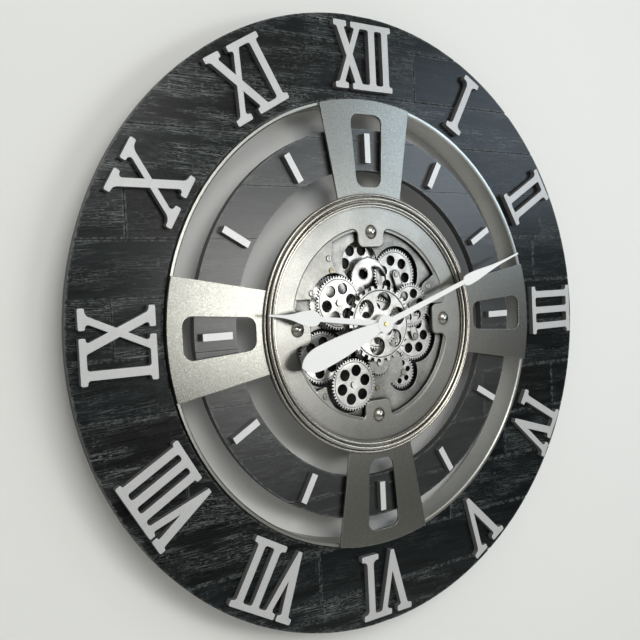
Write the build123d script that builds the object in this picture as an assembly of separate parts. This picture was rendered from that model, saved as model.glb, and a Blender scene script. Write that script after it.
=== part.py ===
from build123d import *
import math
import os

# Wall clock with an open gear mechanism, in millimetres.
# X is to the viewer's right, Y into the wall, Z up. The origin is the hanging point on the wall.
# Heights are measured from the wall towards the viewer.

# Driving dimensions: boards and frame
dial_drop = 86.0            # dial axis below the hanging point
board_width = 81.0
board_thickness = 8.0
board_front = 32.0
board_gap = 1.0             # shadow line between the hoop and the board
hoop_strip = 3.5
hoop_step = 1.2
hoop_depth = 26.0           # the hoop is a flat bar on edge
hoop_flange = 14.0
hoop_flange_thickness = 2.0
hoop_proud = 3.0            # hoop front ahead of the boards
outer_gap = 23.5            # open gap inside the hoop
inner_ring_width = 40.5
inner_gap = 23.5            # open gap round the bezel
spoke_thickness = 2.4
spoke_outer_half = 55.0
spoke_inner_half = 38.0
window_outer_margin = 10.5  # from the spoke's window to the hoop
window_inner_margin = 6.5   # from the spoke's window to the bezel
window_outer_half = 19.5
window_inner_half = 14.5
window_corner = 9.0
spacer_radius = 5.0
spacer_side = 33.0
screw_head_radius = 4.0
screw_head_height = 1.6
screw_shank_radius = 1.6
screw_depth = 5.0
board_screw_count = 8

# Driving dimensions: numerals and bars
numeral_inner_margin = 8.0
numeral_outer_margin = 9.0
numeral_thickness = 6.0
stem_width = 7.4
thick_arm = 8.2
thin_arm = 6.2
vee_tip = 4.0
serif_height = 5.6
serif_corner = 1.4
slot_bracket = 2.4          # rounding at the ends of the slots between strokes
bracket_fill = 0.9          # share of a serif's ledge that its bracket takes
bar_inner_margin = 6.5
bar_outer_margin = 5.5
bar_width = 6.4
bar_height = 5.5

# Widths of each numeral: stem serif, pitch of stems, arm serif, spread of the arms, step from arm to stem
numeral_widths = {
    "I": {"stem_serif": 21.5},
    "II": {"stem_serif": 19.4, "pitch": 19.2},
    "III": {"stem_serif": 18.0, "pitch": 18.2},
    "IV": {"stem_serif": 17.6, "arm_serif": 17.0, "spread": 23.0, "step": 18.0},
    "V": {"arm_serif": 19.0, "spread": 30.0},
    "VI": {"stem_serif": 20.0, "arm_serif": 18.0, "spread": 25.5, "step": 15.0},
    "VII": {"stem_serif": 17.8, "pitch": 17.7, "arm_serif": 16.5, "spread": 19.0, "step": 15.2},
    "VIII": {"stem_serif": 13.0, "pitch": 14.1, "arm_serif": 13.8, "spread": 16.0, "step": 12.2},
    "IX": {"stem_serif": 15.8, "arm_serif": 17.5, "spread": 23.6, "step": 21.0},
    "X": {"arm_serif": 20.0, "spread": 29.6},
    "XI": {"stem_serif": 16.0, "arm_serif": 17.0, "spread": 26.0, "step": 19.0},
    "XII": {"stem_serif": 15.0, "pitch": 16.4, "arm_serif": 15.0, "spread": 20.0, "step": 17.0},
}

# Driving dimensions: case and bezel
plate_rim = 8.8             # solid rim of the main plate outside the wheels
case_wall = 2.5
case_back = 1.5             # back of the shell, behind which the hanger and bumpers sit
case_floor = 2.5
flange_width = 20.0
flange_thickness = 2.4
ledge_width = 5.5
ledge_thickness = 3.0
bezel_overhang = 1.0        # bezel beyond the case flange
bezel_width = 12.4
bezel_rim = 5.0             # part of the bezel that lies over the spokes
bezel_lip = 2.6             # part of the bezel that lies over the ring plate
rim_bead = 1.3
rim_rise = 0.8              # straight edge of each bead above the one outside it
main_rise = 1.6
inner_rise = 0.6
main_bead = 2.1
inner_bead = 1.7
bead_gap = 0.45             # flat between two beads
lip_thickness = 1.5

# Driving dimensions: movement plates
ring_margin = 0.5           # from the widest wheel opening to the ring plate's edge
ring_plate_thickness = 2.0
ring_ledge = 2.6            # lower step along the inner edge
ring_ledge_thickness = 3.2
tab_depth = 20.0
tab_half = 16.0
tab_corner = 7.0
tab_flare = 6.0             # rounding where a tab runs out into the ring
ring_slope = 0.8            # slope along the ring plate's inner edge
shelf_step = 1.0            # shelves below the ring plate's face
rivet_inset = 5.0           # rivets inside the ring plate's edge
rivet_radius = 7.0
rivet_height = 4.2
pillar_radius = 4.0
recess_depth = 2.5          # main plate below the ring plate's seat
main_plate_thickness = 2.0
opening_margin = 2.6        # gap from a wheel's teeth to the edge of the plate round it
hidden_rib_outer = 35.0     # rib of the main plate behind the coarse wheel
hidden_rib_inner = 31.0
backing_front = 23.5
backing_thickness = 2.0
seat_gap = 0.03             # radial gap of a fixed fit
plate_gap = 0.2             # radial gap of a plate in the shell

# Shelves of the ring plate that run in to its screws, between the wheels
shelf_outlines = (
    ((-55.0, 90.0), (-45.8, 80.0), (-47.5, 64.0), (-42.0, 48.0), (-60.0, 20.0), (-74.5, 27.3),
     (-88.0, 27.3), (-100.0, 30.0)),
    ((-80.0, -67.0), (-69.5, -58.5), (-61.0, -56.0), (-50.0, -64.0), (-42.0, -78.0), (-46.0, -87.0),
     (-52.0, -92.0)),
    ((86.0, 50.0), (76.5, 44.0), (66.0, 37.5), (60.0, 28.0), (76.0, 16.5), (90.5, 16.5), (98.0, 24.0)),
)
shelf_corner = 2.0
shelf_screws = ((-51.0, 65.0), (-72.0, 32.6), (-61.8, -65.0), (71.7, 34.1))
jewel_tongue = (-48.6, 53.4)
jewel_tongue_radius = 5.2
lower_jewel = (2.8, -64.5)
horn_center = (19.0, -44.0)
horn_radius = 17.5
horn_root = (21.0, -42.0)
top_opening_radius = 21.0

# Driving dimensions: gear train
fine_module = 1.0
addendum = 0.9
dedendum = 1.2
backlash = 0.12
pressure_angle = 20.0
running_gap = 0.05          # radial gap of a running fit
end_gap = 0.1               # end play of a wheel
post_radius = 2.0
post_shoulder = 3.2
cap_radius = 3.4
cap_height = 1.4
wheel_thickness = 2.5
boss_radius = 4.6
rim_groove_inset = 1.0      # turned line inside the roots of the teeth
rim_groove_width = 0.6
rim_groove_depth = 0.5
deep_wheel_low = 24.1       # the wheels next to the backing
back_wheel_low = 27.0       # the wheels behind the plates
boss_height = 0.8
front_wheel_low = 38.0      # the wheels ahead of the plates
coarse_low = 43.0
coarse_thickness = 3.0
coarse_teeth = 28
coarse_tip = 37.6
coarse_root = 34.2
coarse_tip_share = 0.40
coarse_root_share = 0.54
coarse_groove = 32.6
coarse_groove_width = 1.1
coarse_groove_depth = 0.8
coarse_hole_circle = 22.3
coarse_hole_radius = 9.0
coarse_hole_turn = -13.0
drive_teeth = 66
fine_center_teeth = 50
sleeve_wall = 3.0
bush_radius = 5.0
nut_flats = 15.0
collar_radius = 7.4
collar_thickness = 1.3

# Teeth of each wheel, and its bearing from the wheel that drives it, in degrees clockwise from 12
upper_left_teeth = 50
upper_left_bearing = 296.9
right_teeth = 43
right_bearing = 70.2
upper_right_teeth = 50
upper_right_bearing = 34.5
lower_right_teeth = 48
lower_right_bearing = 106.5
small_teeth = 32
small_bearing = 207.1
lower_idler_teeth = 26
lower_idler_bearing = 178.9
lower_left_teeth = 49
lower_left_bearing = 240.0
left_idler_teeth = 12
left_idler_bearing = 229.7
left_teeth = 49
left_bearing = 263.6
top_teeth = 50
top_bearing = 40.7

# Round holes of each wheel: their circle, their radius and the turn of the first in degrees
wheel_hole_count = 6
wheel_holes = {
    "gear_upper_left": {"circle": 14.2, "radius": 5.6, "turn": 20.0},
    "gear_right": {"circle": 12.5, "radius": 4.9, "turn": 80.0},
    "gear_lower_left": {"circle": 14.0, "radius": 5.6, "turn": 75.0},
    "gear_upper_right": {"circle": 14.5, "radius": 5.3, "turn": 45.0},
    "gear_lower_right": {"circle": 13.9, "radius": 5.2, "turn": 30.0},
    "gear_left": {"circle": 14.7, "radius": 5.4, "turn": 10.0},
    "gear_small": {"circle": 9.3, "radius": 3.0, "turn": 15.0},
    "gear_top": {"circle": 14.0, "radius": 5.4, "turn": 29.0},
    "gear_center_fine": {"circle": 15.5, "radius": 4.6, "turn": 0.0},
}
front_wheels = ("gear_upper_left", "gear_right", "idler_lower", "gear_lower_left", "gear_center_fine")
bridged_wheels = ("gear_upper_right", "gear_lower_right", "gear_small")

# Driving dimensions: bridges and jewels
bridge_half = 4.6
bridge_seat = 1.2           # width of the collar that carries the straight bridge
jewel_radius = 2.4
jewel_height = 0.9
horn_half = 4.2
drop_center = (-3.0, 44.0)
drop_radius = 21.5
drop_tip = 66.5
drop_thickness = 1.8
drop_eye = (-9.5, 49.5)
drop_eye_radius = 5.2
drop_eye_wall = 6.8
drop_opening = (4.0, 42.0)
drop_opening_radius = 14.0
plate_screw_radius = 3.2
plate_screw_height = 0.9
plate_screw_bevel = 0.6
plate_screw_slot = 0.9
plate_screw_slot_depth = 0.4

# Driving dimensions: hands
hour_hand_low = 49.2
minute_hand_low = 52.4
hand_thickness = 1.2
hour_length = 128.0
hour_angle = 277.0
hour_shaft_half = 3.1
hour_bulge_reach = 84.0
hour_bulge_half = 7.2
minute_length = 200.0
minute_angle = 71.0
minute_shaft_half = 3.0
minute_bulge_reach = 121.0
minute_bulge_half = 5.8
tail_length = 103.0
tail_reach = 79.0
tail_half = 11.2
hand_tip_half = 0.9
leaf_heel = 1.4             # heel of a leaf behind its widest place, in half widths
leaf_neck = 0.75            # neck of a leaf, as a share of its shaft
needle_start = 0.42         # share of the length past the leaf where the needle starts
needle_half = 0.32          # half width there, as a share of the leaf's
hub_radius = 9.0
hub_height = 1.6
pipe_radius = 3.5
shaft_radius = 2.0
pin_height = 1.4

# Driving dimensions: rear pieces
movement_side = 56.0
movement_thickness = 16.0
bearing_depth = 4.0         # depth of each shaft in its box
window_margin = 3.0
knob_radius = 8.0
knob_height = 4.0
knob_offset = 14.0
knob_stem_radius = 2.5
knob_notches = 16
motor_width = 56.0
motor_height = 34.0
motor_lift = 49.0           # motor box centre above the dial axis
cell_radius = 7.0
cell_length = 50.0
cell_gap = 0.4
cell_sink = 12.0
motor_cell_rise = 7.0       # motor cell above the motor box centre
cell_drop = 15.0            # movement cell below the dial axis
switch_length = 6.0
switch_width = 3.6
switch_height = 2.2
switch_travel = 4.0
switch_depth = 1.6
switch_drop = 13.0          # switch below the motor box centre
hanger_width = 44.0
hanger_height = 24.0
hanger_hole_radius = 5.0
hanger_slot_width = 5.0
hanger_slot_rise = 6.0
hanger_pocket_margin = 0.6
bumper_radius = 7.0
bumper_inset = 18.0         # bumpers inside the case wall
bumper_spread = 35.0

# Levels worked out from the driving dimensions
board_back = board_front - board_thickness
hoop_front = board_front + hoop_proud
hoop_back = hoop_front - hoop_depth
spoke_back = hoop_front
spoke_front = spoke_back + spoke_thickness
plate_level = spoke_back    # case flange top, where the ring plate sits
ring_plate_front = plate_level + ring_plate_thickness
shelf_front = ring_plate_front - shelf_step
main_plate_front = plate_level - recess_depth
main_plate_back = main_plate_front - main_plate_thickness
backing_back = backing_front - backing_thickness
movement_back = backing_back - movement_thickness
bush_front = coarse_low + coarse_thickness + end_gap + collar_thickness
shaft_seat = backing_back - bearing_depth
sleeve_inner = bush_radius + running_gap
sleeve_outer = sleeve_inner + sleeve_wall
hub_front = minute_hand_low + hub_height

dial = Plane(origin=(0, 0, -dial_drop), x_dir=(1, 0, 0), z_dir=(0, -1, 0))
turning = Plane(origin=(0, 0, -dial_drop), x_dir=(1, 0, 0), z_dir=(0, 0, -1))
dial_axis = Axis((0, 0, -dial_drop), (0, -1, 0))


def layer(sketch, low, high):
    # A flat sketch, seen from the front, made solid between two heights above the wall
    return extrude(dial.offset(low) * sketch, high - low)


def ring(outer, inner):
    return Circle(outer) - Circle(inner)


def disc(place, radius):
    return Pos(*place) * Circle(radius)


def polar(reach, bearing, start=(0.0, 0.0)):
    # Bearings run clockwise from 12 as the viewer sees them
    turn = math.radians(bearing)
    return (start[0] + reach * math.sin(turn), start[1] + reach * math.cos(turn))


def link(first, second, half):
    # Bar with round ends between two places
    span = math.hypot(second[0] - first[0], second[1] - first[1])
    turn = math.degrees(math.atan2(second[1] - first[1], second[0] - first[0]))
    middle = ((first[0] + second[0]) / 2, (first[1] + second[1]) / 2)
    return Pos(*middle) * Rot(0, 0, turn) * SlotCenterToCenter(span, 2 * half)


def lathe(points):
    # Points are radius and height of a closed outline, turned about the dial axis
    return revolve(turning * make_face(Polyline(*points, close=True)), dial_axis)


def together(sketches):
    result = sketches[0]
    for sketch in sketches[1:]:
        result += sketch
    return result


def save(name, *solids):
    shape = solids[0] if len(solids) == 1 else Compound(children=list(solids))
    export_step(shape, "parts/" + name + ".step")


# Plan of the gear train, and the radii that grow outwards from it

def mesh_phase(driver, place, teeth):
    # Turns a wheel so that a gap of it stands where its driver has a tooth
    toward = math.atan2(place[1] - driver["place"][1], place[0] - driver["place"][0])
    ratio = driver["teeth"] / teeth
    return toward + math.pi - ratio * (driver["phase"] - toward) - math.pi / teeth


def plan_train():
    train = {
        "gear_center_drive": {"place": (0.0, 0.0), "teeth": drive_teeth, "phase": 0.0, "posted": False},
        "gear_center_fine": {"place": (0.0, 0.0), "teeth": fine_center_teeth, "phase": 0.0, "posted": False},
    }
    meshes = (
        ("gear_upper_left", "gear_center_fine", upper_left_teeth, upper_left_bearing),
        ("gear_right", "gear_center_fine", right_teeth, right_bearing),
        ("idler_lower", "gear_center_fine", lower_idler_teeth, lower_idler_bearing),
        ("gear_lower_left", "idler_lower", lower_left_teeth, lower_left_bearing),
        ("gear_upper_right", "gear_center_drive", upper_right_teeth, upper_right_bearing),
        ("gear_lower_right", "gear_center_drive", lower_right_teeth, lower_right_bearing),
        ("gear_small", "gear_lower_right", small_teeth, small_bearing),
        ("idler_left", "gear_center_drive", left_idler_teeth, left_idler_bearing),
        ("gear_left", "idler_left", left_teeth, left_bearing),
        ("gear_top", "gear_upper_left", top_teeth, top_bearing),
    )
    for name, driver_name, teeth, bearing in meshes:
        driver = train[driver_name]
        place = polar(fine_module * (driver["teeth"] + teeth) / 2, bearing, driver["place"])
        phase = mesh_phase(driver, place, teeth)
        posted = name != "gear_top"
        train[name] = {"place": place, "teeth": teeth, "phase": phase, "posted": posted}
    return train


def opening_radius(wheel):
    return fine_module * (wheel["teeth"] / 2 + addendum) + opening_margin


def wheel_opening(train, name):
    return disc(train[name]["place"], opening_radius(train[name]))


gear_train = plan_train()
wheel_reach = max(math.hypot(*wheel["place"]) + opening_radius(wheel) for wheel in gear_train.values())
ring_plate_inner = wheel_reach + ring_margin
tab_reach = ring_plate_inner - tab_depth
rivet_circle = ring_plate_inner - rivet_inset
plate_radius = wheel_reach + plate_rim
shell_inner = plate_radius + plate_gap
case_radius = shell_inner + case_wall
flange_radius = case_radius + flange_width
bezel_outer = flange_radius + bezel_overhang
bezel_inner = bezel_outer - bezel_width
inner_ring_inner = bezel_outer + inner_gap
inner_ring_outer = inner_ring_inner + inner_ring_width
hoop_inner = inner_ring_outer + outer_gap
hoop_outer = hoop_inner + hoop_strip
board_inner = hoop_outer + board_gap
board_radius = board_inner + board_width
window_inner = bezel_outer + window_inner_margin
window_outer = hoop_inner - window_outer_margin
spacer_circle = (inner_ring_inner + inner_ring_outer) / 2
numeral_inner = board_inner + numeral_inner_margin
numeral_height = board_width - numeral_inner_margin - numeral_outer_margin
bar_inner = inner_ring_inner + bar_inner_margin
bar_length = inner_ring_width - bar_inner_margin - bar_outer_margin


# Boards, hoop and spokes

def make_boards():
    hole_top = board_back + screw_depth - screw_head_height
    board = layer(ring(board_radius, board_inner), board_back, board_front)
    inner = layer(ring(inner_ring_outer, inner_ring_inner), board_back, board_front)
    hoop = lathe([
        (hoop_inner, hoop_back),
        (hoop_outer, hoop_back),
        (hoop_outer, board_back - hoop_flange_thickness),
        (hoop_outer + hoop_flange, board_back - hoop_flange_thickness),
        (hoop_outer + hoop_flange, board_back),
        (hoop_outer, board_back),
        (hoop_outer, hoop_front),
        (hoop_inner + hoop_step, hoop_front),
        (hoop_inner, hoop_front - hoop_step),
    ])
    bore = screw_shank_radius + seat_gap
    screws = []
    flange_middle = hoop_outer + board_gap + (hoop_flange - board_gap) / 2
    for index in range(board_screw_count):
        place = polar(flange_middle, (index + 0.5) * 360 / board_screw_count)
        head_low = board_back - hoop_flange_thickness - screw_head_height
        screws.append(screw(place, head_low, hole_top))
        board -= layer(disc(place, bore), board_back, hole_top)
        hoop -= layer(disc(place, bore), board_back - hoop_flange_thickness, board_back)
    spacers = []
    for place in spacer_places():
        spacer = disc(place, spacer_radius) - disc(place, bore)
        spacers.append(layer(spacer, board_front, spoke_back))
        inner -= layer(disc(place, bore), board_back, board_front)
        screws.append(screw(place, board_back - screw_head_height, spoke_back))
    save("outer_board", board)
    save("inner_ring", inner)
    save("hoop", hoop)
    save("ring_spacers", *spacers)
    save("board_screws", *screws)


def screw(place, head_low, tip):
    head = layer(disc(place, screw_head_radius), head_low, head_low + screw_head_height)
    return head + layer(disc(place, screw_shank_radius), head_low, tip)


def spacer_places():
    places = []
    turn = math.degrees(math.asin(spacer_side / spacer_circle))
    for quarter in range(4):
        for side in (-turn, turn):
            places.append(polar(spacer_circle, 90 * quarter + side))
    return places


def spoke_sketch():
    low = bezel_outer - bezel_rim + plate_gap
    widening = (spoke_outer_half - spoke_inner_half) / (hoop_outer - low)
    far = spoke_inner_half + widening * (board_radius - low)
    near = spoke_inner_half - widening * low
    wedge = make_face(Polyline((near, 0), (far, board_radius), (-far, board_radius), (-near, 0), close=True))
    window = make_face(Polyline(
        (window_inner_half, window_inner), (window_outer_half, window_outer),
        (-window_outer_half, window_outer), (-window_inner_half, window_inner), close=True))
    window = fillet(window.vertices(), window_corner)
    return (wedge & ring(hoop_outer, low)) - window


def make_spokes():
    for quarter, hour in enumerate((12, 3, 6, 9)):
        spoke = Rot(0, 0, -90 * quarter) * spoke_sketch()
        save("spoke_" + str(hour), layer(spoke, spoke_back, spoke_front))


# Numerals and bars

def stroke(top, bottom, width):
    # Passes through two places on the serifs' inner edges, and runs on to the numeral's top and bottom
    half_height = numeral_height / 2
    middle = (top + bottom) / 2
    lean = (top - bottom) / 2 * half_height / (half_height - serif_height)
    return make_face(Polyline(
        (middle + lean - width / 2, half_height), (middle + lean + width / 2, half_height),
        (middle - lean + width / 2, -half_height), (middle - lean - width / 2, -half_height), close=True))


def vee(left, right):
    # Thick left arm and thin right arm that meet in a blunt tip
    half_height = numeral_height / 2
    fall = numeral_height - serif_height
    middle = (left + right) / 2
    left_lean = (middle - vee_tip / 2 - left + thick_arm / 2) / fall
    right_lean = (right + thin_arm / 2 - middle - vee_tip / 2) / fall
    drop = (right - thin_arm / 2 - left - thick_arm / 2) / (left_lean + right_lean)
    crotch = (left + thick_arm / 2 + left_lean * drop, half_height - serif_height - drop)
    left_top = left - left_lean * serif_height
    right_top = right + right_lean * serif_height
    return make_face(Polyline(
        (left_top - thick_arm / 2, half_height), (left_top + thick_arm / 2, half_height), crotch,
        (right_top - thin_arm / 2, half_height), (right_top + thin_arm / 2, half_height),
        (middle + vee_tip / 2, -half_height), (middle - vee_tip / 2, -half_height), close=True))


def plan_numeral(text):
    # Strokes in order from the left, and their feet in groups that share one serif bar.
    # A foot is its place, stroke width, serif width and lean to the right from the numeral's foot up
    sizes = numeral_widths[text]
    strokes = []
    tops = [[]]
    feet = [[]]
    cursor = 0.0
    before = ""
    for letter in text:
        if before:
            cursor += sizes["pitch"] if before + letter == "II" else sizes["step"]
        before = letter
        if letter == "I":
            strokes.append(stroke(cursor, cursor, stem_width))
            foot = (cursor, stem_width, sizes["stem_serif"], 0.0)
            tops[-1].append(foot)
            feet[-1].append(foot)
            continue
        right = cursor + sizes["spread"]
        serif = sizes["arm_serif"]
        rise = numeral_height - 2 * serif_height if letter == "X" else 2 * numeral_height
        lean = sizes["spread"] / rise
        tops[-1].append((cursor, thick_arm, serif, -lean))
        tops.append([(right, thin_arm, serif, lean)])
        if letter == "X":
            strokes += [stroke(cursor, right, thick_arm), stroke(right, cursor, thin_arm)]
            feet[-1].append((cursor, thin_arm, serif, lean))
            feet.append([(right, thick_arm, serif, -lean)])
        else:
            strokes.append(vee(cursor, right))
            feet.append([])
        cursor = right
    return strokes, tops, [group for group in feet if group]


def serif_bar(group, side):
    # One bar under its feet, its corners, and a bracket in each corner between the bar and a stroke
    level = side * (numeral_height / 2 - serif_height)
    start = group[0][0] - group[0][2] / 2
    end = group[-1][0] + group[-1][2] / 2
    middle = side * (numeral_height - serif_height) / 2
    bar = Pos((start + end) / 2, middle) * Rectangle(end - start, serif_height)
    corners = []
    for place, width, serif, lean in group:
        ledge = (serif - width) / 2 - serif_corner
        for edge in (-1, 1):
            outer = place == (group[0][0] if edge < 0 else group[-1][0])
            opening = math.pi / 2 + edge * side * math.atan(lean)
            bracket = bracket_fill * ledge * math.tan(opening / 2) if outer else slot_bracket
            corners.append((place + edge * width / 2, level, bracket))
    for place in (start, end):
        corners += [(place, level, serif_corner), (place, side * numeral_height / 2, serif_corner)]
    return bar, corners, start, end


def numeral_sketch(text):
    strokes, tops, feet = plan_numeral(text)
    bars = [serif_bar(group, 1) for group in tops] + [serif_bar(group, -1) for group in feet]
    shape = together(strokes + [bar[0] for bar in bars])
    places = {}
    for bar in bars:
        for across, up, radius in bar[1]:
            places.setdefault(radius, []).append((across, up))
    for radius, spots in places.items():
        vertices = shape.vertices()
        shape = fillet([vertices.sort_by_distance(spot)[0] for spot in spots], radius)
    start = min(bar[2] for bar in bars)
    end = max(bar[3] for bar in bars)
    return Pos(-(start + end) / 2, 0) * shape


numeral_texts = ("I", "II", "III", "IV", "V", "VI", "VII", "VIII", "IX", "X", "XI", "XII")


def make_numerals():
    middle = numeral_inner + numeral_height / 2
    for index, text in enumerate(numeral_texts):
        shape = Rot(0, 0, -30 * (index + 1)) * Pos(0, middle) * numeral_sketch(text)
        solid = layer(shape, board_front, board_front + numeral_thickness)
        save("numeral_" + str(index + 1), solid)
    bars = []
    for hour in range(12):
        bar = Rot(0, 0, -30 * hour) * Pos(0, bar_inner + bar_length / 2) * Rectangle(bar_width, bar_length)
        bars.append(layer(bar, board_front, board_front + bar_height))
    save("hour_bars", *bars)


# Case, bezel and plates

def make_bezel():
    rim = bezel_outer - bezel_rim
    lip = bezel_inner + bezel_lip
    rim_top = spoke_front + rim_rise
    main_base = rim_top + main_rise
    inner_base = rim_top + inner_rise
    lip_top = ring_plate_front + lip_thickness
    rim_edge = bezel_outer - 2 * rim_bead
    main_start = rim_edge - bead_gap
    main_edge = main_start - 2 * main_bead
    inner_start = main_edge - bead_gap
    inner_edge = inner_start - 2 * inner_bead
    outline = [
        Line((rim, plate_level), (rim, spoke_front)),
        Line((rim, spoke_front), (bezel_outer, spoke_front)),
        Line((bezel_outer, spoke_front), (bezel_outer, rim_top)),
        ThreePointArc((bezel_outer, rim_top), (bezel_outer - rim_bead, rim_top + rim_bead),
                      (rim_edge, rim_top)),
        Line((rim_edge, rim_top), (main_start, rim_top)),
        Line((main_start, rim_top), (main_start, main_base)),
        ThreePointArc((main_start, main_base), (main_start - main_bead, main_base + main_bead),
                      (main_edge, main_base)),
        Line((main_edge, main_base), (main_edge, inner_base)),
        Line((main_edge, inner_base), (inner_start, inner_base)),
        ThreePointArc((inner_start, inner_base), (inner_start - inner_bead, inner_base + inner_bead),
                      (inner_edge, inner_base)),
        Line((inner_edge, inner_base), (inner_edge, lip_top)),
        Line((inner_edge, lip_top), (bezel_inner, lip_top)),
        Line((bezel_inner, lip_top), (bezel_inner, ring_plate_front)),
        Line((bezel_inner, ring_plate_front), (lip, ring_plate_front)),
        Line((lip, ring_plate_front), (lip, plate_level)),
        Line((lip, plate_level), (rim, plate_level)),
    ]
    profile = make_face(Wire(outline))
    save("bezel", revolve(turning * profile, dial_axis))


def quarter_copies(sketch):
    return [Rot(0, 0, -90 * quarter) * sketch for quarter in range(4)]


def rivet_places():
    return [polar(rivet_circle, 90 * quarter) for quarter in range(4)]


def make_ring_plate(train):
    outer = bezel_inner + bezel_lip - plate_gap
    tab_length = ring_plate_inner + tab_corner - tab_reach
    tab = Pos(0, tab_reach + tab_length / 2) * RectangleRounded(2 * tab_half, tab_length, tab_corner)
    crown = ring(outer, ring_plate_inner) + together(quarter_copies(tab))
    roots = [corner for corner in crown.vertices()
             if abs(math.hypot(corner.X, corner.Y) - ring_plate_inner) < seat_gap]
    crown = fillet(roots, tab_flare)
    shelves = together([rounded(outline, shelf_corner) for outline in shelf_outlines])
    shelves += disc(jewel_tongue, jewel_tongue_radius)
    for name in ("gear_upper_left", "gear_lower_left", "gear_right"):
        shelves -= wheel_opening(train, name)
    holes = together([disc(place, pillar_radius / 2 + seat_gap) for place in rivet_places()])
    ledge = ring(ring_plate_inner, ring_plate_inner - ring_ledge) - crown - shelves
    plate = layer(crown, plate_level, ring_plate_front)
    face = plate.faces().sort_by(Axis.Y)[0]
    plate = chamfer(face.inner_wires()[0].edges(), ring_slope)
    plate += layer(crown & Circle(plate_radius), main_plate_front, plate_level)
    plate += layer(shelves & Circle(plate_radius), main_plate_front, shelf_front)
    plate += layer(ledge, main_plate_front, main_plate_front + ring_ledge_thickness)
    plate -= layer(holes, main_plate_front, ring_plate_front)
    save("ring_plate", plate)
    rivets = []
    cap_sphere = (rivet_radius ** 2 + rivet_height ** 2) / (2 * rivet_height)
    for place in rivet_places():
        spot = dial.offset(ring_plate_front + rivet_height - cap_sphere).location * Pos(*place)
        dome = spot * Sphere(cap_sphere)
        dome &= layer(disc(place, rivet_radius), ring_plate_front, ring_plate_front + rivet_height)
        shank = layer(disc(place, pillar_radius / 2), main_plate_back, ring_plate_front)
        rivets.append(dome + shank)
    save("rivets", *rivets)
    pillars = [layer(disc(place, pillar_radius), backing_front, main_plate_back) for place in rivet_places()]
    save("plate_pillars", *pillars)
    save("plate_screws", *[plate_screw(place) for place in shelf_screws])


def plate_screw(place):
    top = shelf_front + plate_screw_height
    head = layer(disc(place, plate_screw_radius), shelf_front, top)
    head = chamfer(head.faces().sort_by(Axis.Y)[0].edges(), plate_screw_bevel)
    slot = Pos(*place) * Rectangle(plate_screw_slot, 2 * plate_screw_radius)
    return head - layer(slot, top - plate_screw_slot_depth, top)


def rounded(points, radius):
    outline = make_face(Polyline(*points, close=True))
    return fillet(outline.vertices(), radius)


def make_plates(train):
    small = train["gear_small"]["place"]
    opening = wheel_opening(train, "gear_small") - disc(horn_center, horn_radius)
    opening -= link(horn_root, small, horn_half)
    opened = ("gear_upper_left", "gear_lower_left", "gear_left", "gear_upper_right", "gear_right",
              "gear_lower_right", "idler_left")
    for name in opened:
        opening += wheel_opening(train, name)
    opening += disc(train["gear_top"]["place"], top_opening_radius) + disc(drop_center, drop_radius)
    opening += Circle(hidden_rib_outer)
    opening -= ring(hidden_rib_outer, hidden_rib_inner)
    opening += disc(train["idler_lower"]["place"], post_shoulder + plate_gap)
    plate = Circle(plate_radius) - opening - disc(small, post_radius + seat_gap)
    for place in rivet_places():
        plate -= disc(place, pillar_radius / 2 + seat_gap)
    save("main_plate", layer(plate, main_plate_back, main_plate_front))
    backing = Circle(plate_radius) - Circle(bush_radius + seat_gap)
    for wheel in train.values():
        if wheel["posted"]:
            backing -= disc(wheel["place"], post_radius + seat_gap)
    backing -= disc(train["gear_top"]["place"], post_radius + running_gap)
    save("backing_plate", layer(backing, backing_back, backing_front))


def make_case():
    flange_low = plate_level - flange_thickness
    ledge = backing_back - ledge_thickness
    shell = lathe([
        (0, case_back), (case_radius, case_back), (case_radius, flange_low), (flange_radius, flange_low),
        (flange_radius, plate_level), (shell_inner, plate_level), (shell_inner, backing_back),
        (shell_inner - ledge_width, backing_back), (shell_inner - ledge_width, ledge),
        (shell_inner, ledge), (shell_inner, case_back + case_floor), (0, case_back + case_floor),
    ])
    side = movement_side + 2 * window_margin
    window = Rectangle(side, side)
    motor_window = Rectangle(motor_width + 2 * window_margin, motor_height + 2 * window_margin)
    window += Pos(0, motor_lift) * motor_window
    pocket_half = hanger_hole_radius + hanger_pocket_margin
    window += Pos(0, dial_drop) * link((0, 0), (0, hanger_slot_rise), pocket_half)
    shell -= layer(window, case_back, case_back + case_floor)
    save("case_shell", shell)
    plate = Pos(0, hanger_slot_rise / 2) * Rectangle(hanger_width, hanger_height)
    plate -= Circle(hanger_hole_radius)
    plate -= link((0, 0), (0, hanger_slot_rise), hanger_slot_width / 2)
    save("hanger_plate", layer(Pos(0, dial_drop) * plate, 0, case_back))
    bumper_circle = case_radius - bumper_inset
    bumpers = [layer(disc(polar(bumper_circle, 180 + turn), bumper_radius), 0, case_back)
               for turn in (-bumper_spread, bumper_spread)]
    save("wall_bumpers", *bumpers)


# Gear train

def involute(angle):
    return math.tan(angle) - angle


def tooth_half(teeth, radius):
    # Half the angle of a tooth at a radius, from the involute of the base circle
    pitch = fine_module * teeth / 2
    base = pitch * math.cos(math.radians(pressure_angle))
    half = (math.pi * fine_module / 2 - backlash) / (2 * pitch)
    lean = math.acos(base / radius) if radius > base else 0.0
    return half + involute(math.radians(pressure_angle)) - involute(lean)


def toothed(teeth, phase):
    pitch = fine_module * teeth / 2
    root = pitch - dedendum * fine_module
    tip = pitch + addendum * fine_module
    corners = ((root, -1), (tip, -1), (tip, 1), (root, 1))
    points = []
    for tooth in range(teeth):
        middle = phase + 2 * math.pi * tooth / teeth
        for radius, side in corners:
            angle = middle + side * tooth_half(teeth, radius)
            points.append((radius * math.cos(angle), radius * math.sin(angle)))
    return make_face(Polyline(*points, close=True))


def wheel_low(name):
    if name == "gear_top":
        return deep_wheel_low
    return front_wheel_low if name in front_wheels else back_wheel_low


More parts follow.
